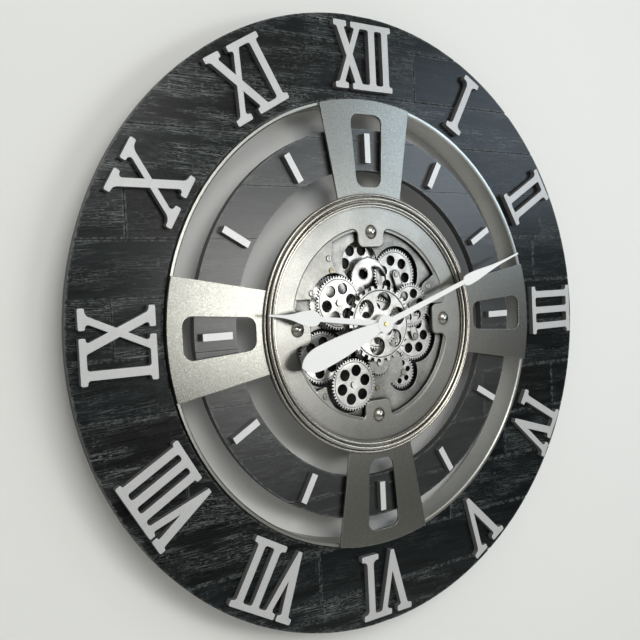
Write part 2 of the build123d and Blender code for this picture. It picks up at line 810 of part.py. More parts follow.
def make_wheel(name, wheel, bore):
    # The larger wheels have round holes, and a line turned into the face inside the teeth
    spot = Pos(*wheel["place"])
    low = wheel_low(name)
    top = low + wheel_thickness
    outline = toothed(wheel["teeth"], wheel["phase"]) - Circle(bore)
    if name not in wheel_holes:
        return layer(spot * outline, low, top)
    holes = wheel_holes[name]
    for index in range(wheel_hole_count):
        bearing = holes["turn"] + index * 360 / wheel_hole_count
        outline -= disc(polar(holes["circle"], bearing), holes["radius"])
    root = fine_module * (wheel["teeth"] / 2 - dedendum)
    groove = ring(root - rim_groove_inset, root - rim_groove_inset - rim_groove_width)
    return layer(spot * outline, low, top) - layer(spot * groove, top - rim_groove_depth, top)


def make_train(train):
    posts = []
    caps = []
    bore = post_radius + running_gap
    for name, wheel in train.items():
        if not wheel["posted"]:
            continue
        place = wheel["place"]
        low = wheel_low(name)
        top = low + wheel_thickness
        body = make_wheel(name, wheel, bore)
        if name == "gear_upper_left":
            # A second row of teeth near the backing takes the drive, on the same sleeve
            low = deep_wheel_low
            inner = toothed(wheel["teeth"], wheel["phase"]) - Circle(bore)
            body += layer(Pos(*place) * inner, low, low + wheel_thickness)
            body += layer(Pos(*place) * ring(boss_radius, bore), low, top)
        if name not in front_wheels:
            body += layer(Pos(*place) * ring(boss_radius, bore), top, top + boss_height)
            top += boss_height
        save(name, body)
        post = layer(disc(place, post_shoulder), backing_front, low - end_gap)
        if name == "gear_right":
            post += layer(disc(place, post_shoulder + bridge_seat), backing_front, main_plate_back)
        if name in bridged_wheels:
            post += layer(disc(place, post_radius), backing_back, main_plate_front)
        else:
            post += layer(disc(place, post_radius), backing_back, top + end_gap)
            caps.append(layer(disc(place, cap_radius), top + end_gap, top + end_gap + cap_height))
        posts.append(post)
    save("gear_posts", *posts)
    save("post_caps", *caps)
    top_wheel = train["gear_top"]
    body = make_wheel("gear_top", top_wheel, post_radius / 2)
    shaft = layer(disc(top_wheel["place"], post_radius), shaft_seat, main_plate_back)
    save("gear_top", body + shaft)


def make_center(train):
    drive = make_wheel("gear_center_drive", train["gear_center_drive"], sleeve_inner)
    sleeve = layer(ring(sleeve_outer, sleeve_inner), back_wheel_low, coarse_low + coarse_thickness)
    save("gear_center_drive", drive + sleeve)
    save("gear_center_fine", make_wheel("gear_center_fine", train["gear_center_fine"], sleeve_outer + seat_gap))
    points = []
    pitch = 2 * math.pi / coarse_teeth
    corners = ((coarse_root, -coarse_root_share), (coarse_tip, -coarse_tip_share),
               (coarse_tip, coarse_tip_share), (coarse_root, coarse_root_share))
    for tooth in range(coarse_teeth):
        for radius, share in corners:
            angle = (tooth + share / 2) * pitch
            points.append((radius * math.cos(angle), radius * math.sin(angle)))
    outline = make_face(Polyline(*points, close=True)) - Circle(sleeve_outer + seat_gap)
    for index in range(wheel_hole_count):
        bearing = index * 360 / wheel_hole_count - coarse_hole_turn
        outline -= disc(polar(coarse_hole_circle, bearing), coarse_hole_radius)
    top = coarse_low + coarse_thickness
    coarse = layer(outline, coarse_low, top)
    groove = ring(coarse_groove + coarse_groove_width / 2, coarse_groove - coarse_groove_width / 2)
    save("gear_center_coarse", coarse - layer(groove, top - coarse_groove_depth, top))
    tube = ring(bush_radius, pipe_radius + running_gap)
    bush = layer(tube, backing_back, bush_front)
    nut = layer(RegularPolygon(nut_flats / 2, 6, major_radius=False) - Circle(bush_radius + seat_gap),
                backing_front, back_wheel_low - end_gap)
    collar = layer(ring(collar_radius, bush_radius + seat_gap), bush_front - collar_thickness, bush_front)
    save("center_bush", bush, nut, collar)


# Bridges and jewels

def make_bridges(train):
    upper = train["gear_upper_right"]["place"]
    middle = train["gear_right"]["place"]
    lower = train["gear_lower_right"]["place"]
    small = train["gear_small"]["place"]
    bar = link(upper, middle, bridge_half) + link(middle, lower, bridge_half)
    bar -= disc(upper, post_radius + seat_gap)
    bar -= disc(lower, post_radius + seat_gap)
    bar -= disc(middle, post_shoulder + seat_gap)
    save("right_bridge", layer(bar, main_plate_back, main_plate_front))
    shoulder = drop_radius * math.sqrt(0.5)
    cap = make_face(Polyline(
        (drop_center[0], drop_tip),
        (drop_center[0] + shoulder, drop_center[1] + shoulder),
        (drop_center[0] - shoulder, drop_center[1] + shoulder), close=True))
    body = disc(drop_center, drop_radius) + cap
    opening = disc(drop_opening, drop_opening_radius) - disc(drop_eye, drop_eye_radius + drop_eye_wall)
    body -= opening
    body -= disc(drop_eye, drop_eye_radius)
    save("drop_bridge", layer(body, main_plate_front, main_plate_front + drop_thickness))
    jewels = [layer(disc(place, jewel_radius), main_plate_front, main_plate_front + jewel_height)
              for place in (upper, lower, small, lower_jewel)]
    jewels.append(layer(disc(jewel_tongue, jewel_radius), shelf_front, shelf_front + jewel_height))
    save("jewels", *jewels)


# Hands

def spear(length, shaft_half, reach, half):
    # Narrow shaft, a leaf with a rounded heel, and a needle that curves in to the tip
    heel = reach - leaf_heel * half
    waist = reach + needle_start * (length - reach)
    neck = leaf_neck * shaft_half
    edge = Spline((half, reach), (needle_half * half + hand_tip_half, waist), (hand_tip_half, length),
                  tangents=((0, 1), (0, 1)))
    heel_arc = Spline((neck, heel), (half, reach), tangents=((1, 0.35), (0, 1)))
    right = [Line((0, 0), (shaft_half, 0)), Line((shaft_half, 0), (neck, heel)), heel_arc, edge,
             Line((hand_tip_half, length), (0, length)), Line((0, length), (0, 0))]
    half_face = make_face(Wire(right))
    return half_face + mirror(half_face, Plane.YZ)


def leaf_tail():
    right = [Line((0, 0), (0, -tail_length)),
             Spline((0, -tail_length), (tail_half, -tail_reach), tangents=((1, 0.45), (0, 1))),
             Spline((tail_half, -tail_reach), (minute_shaft_half, 0), tangents=((0, 1), (-0.2, 1))),
             Line((minute_shaft_half, 0), (0, 0))]
    half_face = make_face(Wire(right))
    return half_face + mirror(half_face, Plane.YZ)


def make_hands():
    hour = spear(hour_length, hour_shaft_half, hour_bulge_reach, hour_bulge_half) + Circle(hub_radius)
    hour = Rot(0, 0, -hour_angle) * (hour - Circle(shaft_radius + running_gap))
    plate = layer(hour, hour_hand_low, hour_hand_low + hand_thickness)
    pipe = layer(ring(pipe_radius, shaft_radius + running_gap), backing_front, hour_hand_low)
    save("hour_hand", plate + pipe)
    minute = spear(minute_length, minute_shaft_half, minute_bulge_reach, minute_bulge_half) + leaf_tail()
    minute = Rot(0, 0, -minute_angle) * (minute - Circle(shaft_radius + seat_gap))
    hub = ring(hub_radius, shaft_radius + seat_gap)
    plate = layer(minute, minute_hand_low, minute_hand_low + hand_thickness)
    save("minute_hand", plate + layer(hub, minute_hand_low, hub_front))
    shaft = layer(Circle(shaft_radius), shaft_seat, hub_front + pin_height)
    save("minute_shaft", shaft)


# Rear pieces

def cell_pocket(middle, back):
    # A cell lies across the box in a trough that opens to the rear
    width = 2 * (cell_radius + cell_gap)
    trough = Pos(*middle) * Rectangle(cell_length + 2 * cell_gap, width)
    return layer(trough, back, back + cell_sink)


def lying_cell(middle, back):
    height = back + cell_sink - cell_gap - cell_radius
    start = Plane(origin=(middle[0] - cell_length / 2, -height, middle[1] - dial_drop), z_dir=(1, 0, 0))
    return extrude(start * Circle(cell_radius), cell_length)


def make_rear(train):
    back = movement_back
    movement = layer(Rectangle(movement_side, movement_side), back, backing_back)
    movement -= layer(Circle(shaft_radius + running_gap), shaft_seat, backing_back)
    cell_place = (0.0, -cell_drop)
    movement -= cell_pocket(cell_place, back)
    knob_place = (0.0, knob_offset)
    stem_top = back + 2 * knob_height
    movement -= layer(disc(knob_place, knob_stem_radius + running_gap), back, stem_top)
    save("quartz_movement", movement)
    knob_low = back - end_gap - knob_height
    grip = disc(knob_place, knob_radius)
    for notch in range(knob_notches):
        grip -= disc(polar(knob_radius, notch * 360 / knob_notches, knob_place), knob_radius / knob_notches)
    knob = layer(grip, knob_low, knob_low + knob_height)
    knob += layer(disc(knob_place, knob_stem_radius), knob_low, stem_top - end_gap)
    save("setting_knob", knob)
    motor = layer(Pos(0, motor_lift) * Rectangle(motor_width, motor_height), back, backing_back)
    motor_cell = (0.0, motor_lift + motor_cell_rise)
    motor -= cell_pocket(motor_cell, back)
    driver = train["gear_top"]["place"]
    motor -= layer(disc(driver, post_radius + running_gap), shaft_seat, backing_back)
    switch_place = (-switch_travel / 2, motor_lift - switch_drop)
    slot = Pos(0, switch_place[1]) * Rectangle(switch_length + switch_travel + 2 * running_gap,
                                               switch_width + 2 * running_gap)
    motor -= layer(slot, back, back + switch_depth)
    save("gear_motor", motor)
    key = Pos(*switch_place) * Rectangle(switch_length, switch_width)
    save("motor_switch", layer(key, back - switch_height, back + switch_depth - end_gap))
    save("batteries", lying_cell(cell_place, back), lying_cell(motor_cell, back))


os.makedirs("parts", exist_ok=True)
make_boards()
make_spokes()
make_numerals()
make_bezel()
make_ring_plate(gear_train)
make_plates(gear_train)
make_case()
make_train(gear_train)
make_center(gear_train)
make_bridges(gear_train)
make_hands()
make_rear(gear_train)
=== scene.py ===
import bpy
import math
import numpy as np
from mathutils import Matrix, Vector


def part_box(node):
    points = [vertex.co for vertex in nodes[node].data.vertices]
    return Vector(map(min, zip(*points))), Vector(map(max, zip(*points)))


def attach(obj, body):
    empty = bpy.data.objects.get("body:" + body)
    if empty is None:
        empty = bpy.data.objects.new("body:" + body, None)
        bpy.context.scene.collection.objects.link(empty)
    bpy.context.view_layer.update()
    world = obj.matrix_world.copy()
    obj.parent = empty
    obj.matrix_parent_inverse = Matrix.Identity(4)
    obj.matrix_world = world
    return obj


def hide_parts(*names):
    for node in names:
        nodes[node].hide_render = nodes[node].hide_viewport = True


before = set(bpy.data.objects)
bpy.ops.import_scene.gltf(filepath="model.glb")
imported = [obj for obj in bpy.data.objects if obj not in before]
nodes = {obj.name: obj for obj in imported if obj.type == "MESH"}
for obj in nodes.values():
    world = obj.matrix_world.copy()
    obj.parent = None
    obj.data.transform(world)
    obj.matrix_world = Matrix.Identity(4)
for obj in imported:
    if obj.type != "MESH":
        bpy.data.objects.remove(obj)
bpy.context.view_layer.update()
scene = bpy.context.scene
scene.view_settings.view_transform = "Standard"
perMetre = 1000      # millimetres


def middleOf(name):
    low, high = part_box(name)
    return (low + high) / 2


dialCenter = middleOf("hoop")
dialDrop = -dialCenter.z      # dial axis below the origin, metres


def radiiOf(name):
    # Smallest and largest distance of a node's corners from the dial axis, in mm
    mesh = nodes[name].data
    flat = np.empty(len(mesh.vertices) * 3)
    mesh.vertices.foreach_get("co", flat)
    place = flat.reshape(-1, 3)
    reach = np.hypot(place[:, 0], place[:, 2] + dialDrop) * perMetre
    return reach.min(), reach.max()


def heightsOf(name):
    # Back and front of a node above the wall, in mm
    low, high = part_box(name)
    return -high.y * perMetre, -low.y * perMetre


print("frame loaded:", len(nodes), "nodes")


def setInputs(node, inputs):
    # Underscores in the names stand for spaces
    for name, value in inputs.items():
        node.inputs[name.replace("_", " ")].default_value = value
    return node


def addNode(tree, kind, **inputs):
    return setInputs(tree.nodes.new(kind), inputs)


def placeGroup(tree, group, **inputs):
    node = tree.nodes.new("ShaderNodeGroup")
    node.node_tree = group
    return setInputs(node, inputs)


def setInput(tree, socket, value):
    # A tuple is a colour, a number a constant, anything else a link
    if isinstance(value, tuple):
        socket.default_value = (*value, 1)
    elif isinstance(value, (int, float)):
        socket.default_value = value
    else:
        tree.links.new(value, socket)


def newMaterial(name, color, roughness, metallic=0.0):
    material = bpy.data.materials.new(name)
    material.use_nodes = True
    shader = material.node_tree.nodes["Principled BSDF"]
    shader.inputs["Base Color"].default_value = (*color, 1)
    shader.inputs["Roughness"].default_value = roughness
    shader.inputs["Metallic"].default_value = metallic
    return material, material.node_tree, shader


def newGroup(name, inputs, outputs):
    # Inputs come with their usual values; all sockets are numbers, apart from Normal
    group = bpy.data.node_groups.new(name, "ShaderNodeTree")
    for socket, value in inputs.items():
        added = group.interface.new_socket(socket, in_out="INPUT", socket_type="NodeSocketFloat")
        added.default_value = value
    for socket in outputs:
        kind = "NodeSocketVector" if socket == "Normal" else "NodeSocketFloat"
        group.interface.new_socket(socket, in_out="OUTPUT", socket_type=kind)
    return group, group.nodes.new("NodeGroupInput"), group.nodes.new("NodeGroupOutput")


def mathNode(tree, operation, first, second=0.0, clamp=False):
    node = tree.nodes.new("ShaderNodeMath")
    node.operation = operation
    node.use_clamp = clamp
    setInput(tree, node.inputs[0], first)
    setInput(tree, node.inputs[1], second)
    return node.outputs[0]


def mixColor(tree, factor, first, second, blend="MIX"):
    node = tree.nodes.new("ShaderNodeMix")
    node.data_type = "RGBA"
    node.blend_type = blend
    for index, value in ((0, factor), (6, first), (7, second)):      # the colour sockets
        setInput(tree, node.inputs[index], value)
    return node.outputs[2]


def mapRange(tree, value, fromLow, fromHigh, toLow=0.0, toHigh=1.0):
    node = tree.nodes.new("ShaderNodeMapRange")
    for index, number in enumerate((value, fromLow, fromHigh, toLow, toHigh)):
        setInput(tree, node.inputs[index], number)
    return node.outputs[0]


def noiseNode(tree, vector, scale, detail=3.0, rough=0.55, distortion=0.0):
    node = addNode(tree, "ShaderNodeTexNoise", Scale=scale, Detail=detail, Roughness=rough,
                   Distortion=distortion)
    tree.links.new(vector, node.inputs["Vector"])
    return node.outputs["Fac"]


def stretch(tree, vector, scale):
    mapping = addNode(tree, "ShaderNodeMapping", Scale=scale)
    tree.links.new(vector, mapping.inputs["Vector"])
    return mapping.outputs["Vector"]


def splitVector(tree, vector):
    node = tree.nodes.new("ShaderNodeSeparateXYZ")
    tree.links.new(vector, node.inputs[0])
    return node.outputs


def objectPlace(tree):
    # Object coordinates, whole and as X, Y and Z
    whole = tree.nodes.new("ShaderNodeTexCoord").outputs["Object"]
    return whole, splitVector(tree, whole)


def bumpNode(tree, height, strength, distance):
    node = addNode(tree, "ShaderNodeBump", Strength=strength, Distance=distance)
    tree.links.new(height, node.inputs["Height"])
    return node.outputs["Normal"]


grainLook = {
    "usual": {"Speck Scale": 900.0, "Cloud Scale": 18.0, "Cloud Share": 0.3},
    "speck": {"Detail": 2.0, "Roughness": 0.7},
    "cloud": {"Detail": 4.0, "Roughness": 0.6},
    "spread": (0.3, 0.7),        # noise that counts as dark and as light
    "facing": (0.25, 0.85),      # share of the normal along Y, on a flank and on a face
}


def makeCastGrain():
    # Mask is fine specks blended with broad clouds, Height the specks alone,
    # and Facing tells faces to the front and back from flanks
    group, source, sink = newGroup("castGrain", grainLook["usual"], ("Mask", "Height", "Facing"))
    coords = group.nodes.new("ShaderNodeTexCoord")
    layers = []
    for key, scale in (("speck", "Speck Scale"), ("cloud", "Cloud Scale")):
        noise = addNode(group, "ShaderNodeTexNoise", **grainLook[key])
        group.links.new(coords.outputs["Object"], noise.inputs["Vector"])
        group.links.new(source.outputs[scale], noise.inputs["Scale"])
        layers.append(mapRange(group, noise.outputs["Fac"], *grainLook["spread"]))
    fine, broad = layers
    share = source.outputs["Cloud Share"]
    cloudPart = mathNode(group, "MULTIPLY", broad, share)
    finePart = mathNode(group, "MULTIPLY", fine, mathNode(group, "SUBTRACT", 1.0, share))
    group.links.new(mathNode(group, "ADD", cloudPart, finePart, clamp=True), sink.inputs["Mask"])
    group.links.new(fine, sink.inputs["Height"])
    squarely = mathNode(group, "ABSOLUTE", splitVector(group, coords.outputs["Normal"])["Y"])
    group.links.new(mapRange(group, squarely, *grainLook["facing"]), sink.inputs["Facing"])
    return group


wearAndShadeLook = {
    "usual": {"Edge Radius": 0.0005, "Hollow Reach": 0.004, "Hollow Limit": 0.92},
    "edgeSamples": 6, "skySamples": 8,
    "edge": (0.99, 0.90),        # cosine of the normals' angle, at no wear and at full wear
    "closed": 0.5,               # share of open sky in a full hollow
}


def makeEdgeWearAndHollowShade(groupName, ownOnly):
    # Edge is where a rounded normal leaves the flat one, Hollow is where near surfaces close the sky off,
    # and with ownOnly these are the piece's own surfaces; Hollow drives patina and painted shade, Edge worn edges
    # and painted highlight
    group, source, sink = newGroup(groupName, wearAndShadeLook["usual"], ("Edge", "Hollow", "Normal"))
    rounded = group.nodes.new("ShaderNodeBevel")
    rounded.samples = wearAndShadeLook["edgeSamples"]
    group.links.new(source.outputs["Edge Radius"], rounded.inputs["Radius"])
    flat = group.nodes.new("ShaderNodeNewGeometry")
    same = group.nodes.new("ShaderNodeVectorMath")
    same.operation = "DOT_PRODUCT"
    group.links.new(rounded.outputs["Normal"], same.inputs[0])
    group.links.new(flat.outputs["Normal"], same.inputs[1])
    group.links.new(mapRange(group, same.outputs["Value"], *wearAndShadeLook["edge"]), sink.inputs["Edge"])
    sky = group.nodes.new("ShaderNodeAmbientOcclusion")
    sky.samples = wearAndShadeLook["skySamples"]
    sky.only_local = ownOnly
    group.links.new(source.outputs["Hollow Reach"], sky.inputs["Distance"])
    hollow = mapRange(group, sky.outputs["AO"], wearAndShadeLook["closed"], source.outputs["Hollow Limit"], 1.0, 0.0)
    group.links.new(hollow, sink.inputs["Hollow"])
    group.links.new(rounded.outputs["Normal"], sink.inputs["Normal"])
    return group


castGrain = makeCastGrain()
edgeWearAndHollowShade = makeEdgeWearAndHollowShade("edgeWearAndHollowShade", False)
ownEdgeWearAndHollowShade = makeEdgeWearAndHollowShade("ownEdgeWearAndHollowShade", True)      # for moving pieces

finishLook = {
    "plainFrom": (0.011, 0.013),                     # metres to the right of the dial's axis
    "sunkShadeFrom": (0.0003, 0.0008),                   # metres behind the front
    "sunkShadeNoise": (45.0, 4.0, 0.6), "sunkShadeSpread": (0.35, 0.65), "sunkShadeMost": 0.55,
    "sunkShadeShare": 0.45, "patinaAndShadeShare": 0.10,         # of the finish's dark colour
    "roughShares": (1.12, 0.9),                      # of its roughness, in dark and in light grain
    "bumpDepth": 0.0002,                             # metres
}


def scaled(color, share):
    return tuple(min(1.0, share * part) for part in color)


def grainFinish(name, dark, light, roughness, metallic, specks, clouds, cloudShare, bump,
                side=1.0, edge=0.0, hollow=0.0, radius=0.0004, reach=0.004, limit=0.92,
                rub=1.5, lower=None, plain=None, moving=False):
    # Colour and roughness follow the cast grain, its specks lift the surface, and side darkens the flanks as
    # painted shade;
    # edges take rub times the light colour: edge wear with painted highlight, and a painted dark line where rub
    # is below one;
    # hollows take dark patina and painted shade, faces behind the front of the node named as lower take painted
    # shade in blotches, and what lies right of the dial's middle has the plain colour
    material, tree, shader = newMaterial(name, light, roughness, metallic)
    grain = placeGroup(tree, castGrain, Speck_Scale=specks, Cloud_Scale=clouds, Cloud_Share=cloudShare)
    color = mixColor(tree, grain.outputs["Mask"], dark, light)
    if plain:
        place = objectPlace(tree)[1]
        color = mixColor(tree, mapRange(tree, place["X"], *finishLook["plainFrom"]), color, plain)
    # painted shade: flanks multiplied by side, faces keep the full colour
    shadedFlank = mixColor(tree, 1.0, color, (side, side, side), "MULTIPLY")
    color = mixColor(tree, grain.outputs["Facing"], shadedFlank, color)
    if lower:
        # faces behind the ring plate's front are darkened in blotches: painted shade on the sunk shelves
        whole, place = objectPlace(tree)
        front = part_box(lower)[0].y
        sunkShadeMask = mapRange(tree, place["Y"], *(front + depth for depth in finishLook["sunkShadeFrom"]))
        stain = mapRange(tree, noiseNode(tree, whole, *finishLook["sunkShadeNoise"]),
                         *finishLook["sunkShadeSpread"], 0.0, finishLook["sunkShadeMost"])
        sunkShadeColor = mixColor(tree, stain, color, scaled(dark, finishLook["sunkShadeShare"]))
        color = mixColor(tree, sunkShadeMask, color, sunkShadeColor)
    worn = None
    if edge or hollow:
        worn = placeGroup(tree, ownEdgeWearAndHollowShade if moving else edgeWearAndHollowShade,
                          Edge_Radius=radius, Hollow_Reach=reach, Hollow_Limit=limit)
        # hollows darkened toward a share of the dark colour: patina, and painted shade where near surfaces close
        # the sky off
        patinaAndShadeColor = scaled(dark, finishLook["patinaAndShadeShare"])
        color = mixColor(tree, mathNode(tree, "MULTIPLY", worn.outputs["Hollow"], hollow), color, patinaAndShadeColor)
        # edges: worn metal with painted highlight, and a painted dark line where rub is below one, as on the
        # bridges
        edgeWearAndHighlight = scaled(light, rub)
        color = mixColor(tree, mathNode(tree, "MULTIPLY", worn.outputs["Edge"], edge), color, edgeWearAndHighlight)
    tree.links.new(color, shader.inputs["Base Color"])
    roughEnds = (roughness * share for share in finishLook["roughShares"])
    tree.links.new(mapRange(tree, grain.outputs["Mask"], 0, 1, *roughEnds), shader.inputs["Roughness"])
    if bump:
        normal = bumpNode(tree, grain.outputs["Height"], bump, finishLook["bumpDepth"])
        if worn:
            tree.links.new(worn.outputs["Normal"], normal.node.inputs["Normal"])
        tree.links.new(normal, shader.inputs["Normal"])
    return material


# Radius and reach are metres, specks and clouds are noise scales per metre; side darkens the flanks with painted
# shade, the hollow share sets patina and painted shade in hollows, and edge with rub above one paints highlight
# on worn edges
finishes = {
    "nickel": {
        "dark": (0.22, 0.222, 0.206), "light": (0.385, 0.385, 0.355), "roughness": 0.28, "metallic": 1.0,
        "specks": 900.0, "clouds": 14.0, "cloudShare": 0.25, "bump": 0.02, "side": 0.8,
        "edge": 0.8, "hollow": 0.5, "radius": 0.0006, "reach": 0.003,
    },
    "plate": {
        "dark": (0.21, 0.21, 0.20), "light": (0.40, 0.40, 0.375), "roughness": 0.31, "metallic": 1.0,
        "specks": 700.0, "clouds": 24.0, "cloudShare": 0.5, "bump": 0.15, "side": 0.35,
        "edge": 0.8, "hollow": 0.8, "radius": 0.0007, "reach": 0.004, "lower": "ring_plate",
    },
    "floor": {
        "dark": (0.085, 0.087, 0.084), "light": (0.46, 0.465, 0.445), "roughness": 0.34, "metallic": 1.0,
        "specks": 500.0, "clouds": 26.0, "cloudShare": 0.8, "bump": 0.12, "side": 0.25,
        "edge": 0.8, "hollow": 1.0, "radius": 0.0008, "reach": 0.008, "limit": 0.97,
    },
    "hoop": {
        "dark": (0.43, 0.435, 0.41), "light": (0.60, 0.605, 0.57), "roughness": 0.30, "metallic": 1.0,
        "specks": 600.0, "clouds": 16.0, "cloudShare": 0.5, "bump": 0.1, "side": 0.75,
    },
    "silver": {
        "dark": (0.30, 0.285, 0.25), "light": (0.50, 0.485, 0.44), "roughness": 0.24, "metallic": 1.0,
        "specks": 500.0, "clouds": 22.0, "cloudShare": 0.5, "bump": 0.0, "side": 0.3,
    },
    "numeral": {
        "dark": (0.44, 0.445, 0.45), "light": (0.60, 0.605, 0.61), "roughness": 0.42, "metallic": 0.25,
        "specks": 1100.0, "clouds": 30.0, "cloudShare": 0.3, "bump": 0.2, "side": 0.34,
        "edge": 0.5, "hollow": 0.4, "radius": 0.0006, "reach": 0.003,
    },
    "bar": {
        "dark": (0.60, 0.61, 0.62), "light": (0.72, 0.72, 0.72), "roughness": 0.38, "metallic": 0.25,
        "specks": 900.0, "clouds": 30.0, "cloudShare": 0.3, "bump": 0.1, "side": 0.18,
    },
    "wheel": {
        "dark": (0.25, 0.25, 0.245), "light": (0.80, 0.80, 0.78), "roughness": 0.36, "metallic": 1.0,
        "specks": 600.0, "clouds": 42.0, "cloudShare": 0.85, "bump": 0.08, "side": 0.06,
        "edge": 0.5, "hollow": 1.0, "radius": 0.0006, "reach": 0.009, "limit": 0.97, "moving": True,
    },
    "bridge": {
        "dark": (0.34, 0.34, 0.335), "light": (0.74, 0.74, 0.72), "roughness": 0.36, "metallic": 1.0,
        "specks": 600.0, "clouds": 42.0, "cloudShare": 0.85, "bump": 0.08, "side": 0.06,
        "edge": 1.0, "rub": 0.02, "hollow": 1.0, "radius": 0.0032, "reach": 0.007, "limit": 0.95,
    },
    "screw": {
        "dark": (0.22, 0.22, 0.215), "light": (0.42, 0.42, 0.40), "roughness": 0.28, "metallic": 1.0,
        "specks": 900.0, "clouds": 90.0, "cloudShare": 0.5, "bump": 0.05, "side": 0.25,
        "edge": 0.5, "hollow": 0.8, "radius": 0.0006, "reach": 0.002,
    },
    "hand": {
        "dark": (0.80, 0.81, 0.82), "light": (0.86, 0.87, 0.87), "roughness": 0.45, "metallic": 0.0,
        "specks": 900.0, "clouds": 40.0, "cloudShare": 0.5, "bump": 0.05, "side": 0.85,
    },
    "black": {
        "dark": (0.003, 0.003, 0.003), "light": (0.008, 0.008, 0.008), "roughness": 0.65, "metallic": 0.0,
        "specks": 900.0, "clouds": 30.0, "cloudShare": 0.5, "bump": 0.2,
    },
    "case": {
        "dark": (0.022, 0.022, 0.023), "light": (0.038, 0.038, 0.040), "roughness": 0.45, "metallic": 0.0,
        "specks": 1400.0, "clouds": 30.0, "cloudShare": 0.2, "bump": 0.5,
    },
    "box": {
        "dark": (0.013, 0.013, 0.014), "light": (0.022, 0.022, 0.024), "roughness": 0.38, "metallic": 0.0,
        "specks": 1600.0, "clouds": 30.0, "cloudShare": 0.2, "bump": 0.4,
    },
    "brass": {
        "dark": (0.50, 0.37, 0.15), "light": (0.74, 0.58, 0.28), "roughness": 0.25, "metallic": 1.0,
        "specks": 800.0, "clouds": 60.0, "cloudShare": 0.4, "bump": 0.0, "side": 0.5,
    },
    "bronze": {
        "dark": (0.12, 0.10, 0.065), "light": (0.30, 0.26, 0.175), "roughness": 0.28, "metallic": 1.0,
        "specks": 800.0, "clouds": 120.0, "cloudShare": 0.5, "bump": 0.05, "side": 0.4,
        "edge": 0.5, "hollow": 0.8, "radius": 0.0003, "reach": 0.002, "plain": (0.33, 0.33, 0.32),
    },
    "steel": {
        "dark": (0.38, 0.38, 0.37), "light": (0.56, 0.56, 0.55), "roughness": 0.35, "metallic": 1.0,
        "specks": 800.0, "clouds": 50.0, "cloudShare": 0.4, "bump": 0.1, "side": 0.3,
    },
    "cell": {
        "dark": (0.16, 0.17, 0.18), "light": (0.22, 0.23, 0.24), "roughness": 0.3, "metallic": 0.2,
        "specks": 900.0, "clouds": 30.0, "cloudShare": 0.3, "bump": 0.05,
    },
    "switch": {
        "dark": (0.66, 0.66, 0.65), "light": (0.74, 0.74, 0.73), "roughness": 0.4, "metallic": 0.0,
        "specks": 900.0, "clouds": 30.0, "cloudShare": 0.3, "bump": 0.1,
    },
    "rubber": {
        "dark": (0.014, 0.014, 0.014), "light": (0.03, 0.03, 0.03), "roughness": 0.8, "metallic": 0.0,
        "specks": 1500.0, "clouds": 40.0, "cloudShare": 0.3, "bump": 0.6,
    },
    "fibreboard": {
        "dark": (0.008, 0.0078, 0.0072), "light": (0.018, 0.0172, 0.0158), "roughness": 0.6, "metallic": 0.0,
        "specks": 1100.0, "clouds": 12.0, "cloudShare": 0.4, "bump": 0.4,
    },
}
finishes["idler"] = {**finishes["floor"], "moving": True}
looks = {name: grainFinish(name + "Finish", **values) for name, values in finishes.items()}

dressed = {
    "nickel": ["spoke_12", "spoke_3", "spoke_6", "spoke_9"],
    "plate": ["ring_plate"],
    "floor": ["main_plate"],
    "idler": ["idler_lower"],
    "hoop": ["hoop"],
    "numeral": ["numeral_%d" % hour for hour in range(1, 13)],
    "bar": ["hour_bars"],
    "wheel": ["gear_center_drive", "gear_center_fine", "gear_center_coarse", "gear_upper_left",
              "gear_lower_left", "gear_left", "gear_upper_right", "gear_right", "gear_lower_right",
              "gear_small", "gear_top", "idler_left", "post_caps"],
    "bridge": ["right_bridge", "drop_bridge"],
    "black": ["backing_plate"],
    "hand": ["hour_hand", "minute_hand"],
    "brass": ["minute_shaft", "center_bush"],
    "bronze": ["jewels"],
    "screw": ["plate_screws"],
    "steel": ["gear_posts", "plate_pillars", "board_screws", "ring_spacers", "hanger_plate"],
    "case": ["case_shell"],
    "box": ["quartz_movement", "gear_motor", "setting_knob"],
    "switch": ["motor_switch"],
    "cell": ["batteries"],
    "rubber": ["wall_bumpers"],
}
for finish, names in dressed.items():
    for name in names:
        nodes[name].data.materials.clear()
        nodes[name].data.materials.append(looks[finish])
print("finishes set")


def gridFaces(rows, columns):
    index = np.arange(rows * columns).reshape(rows, columns)
    corners = [index[:-1, :-1], index[:-1, 1:], index[1:, 1:], index[1:, :-1]]
    return np.stack(corners, axis=-1).reshape(-1, 4)


def addPiece(name, points, faces, material, replaced):
    # A piece of the fixed frame, in metres in the part's own frame
    mesh = bpy.data.meshes.new(name)
    mesh.from_pydata(points.tolist(), [], faces)
    mesh.materials.append(material)
    piece = bpy.data.objects.new(name, mesh)
    scene.collection.objects.link(piece)
    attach(piece, "frame")
    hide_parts(replaced)
    return piece


def turnedRing(profile, steps):
    # Closed profile of radius and height in mm, carried round the dial axis: x = r sin t, y = -h, z = r cos t
    turn = np.linspace(0, 2 * np.pi, steps, endpoint=False)
    radius, height = profile[:, :1], profile[:, 1:]
    around = np.broadcast_arrays(radius * np.sin(turn), -height, radius * np.cos(turn))
    points = np.stack(around, axis=-1).reshape(-1, 3) / perMetre
    points[:, 2] -= dialDrop
    index = np.arange(len(profile) * steps).reshape(len(profile), steps)
    across = np.roll(index, -1, axis=0)
    along = np.roll(index, -1, axis=1)
    both = np.roll(across, -1, axis=1)
    faces = np.stack([index, across, both, along], axis=-1).reshape(-1, 4)
    return points, faces.tolist()


def shadeSmooth(piece, angle):
    mesh = piece.data
    mesh.polygons.foreach_set("use_smooth", np.ones(len(mesh.polygons), dtype=bool))
    mesh.set_sharp_from_angle(angle=math.radians(angle))


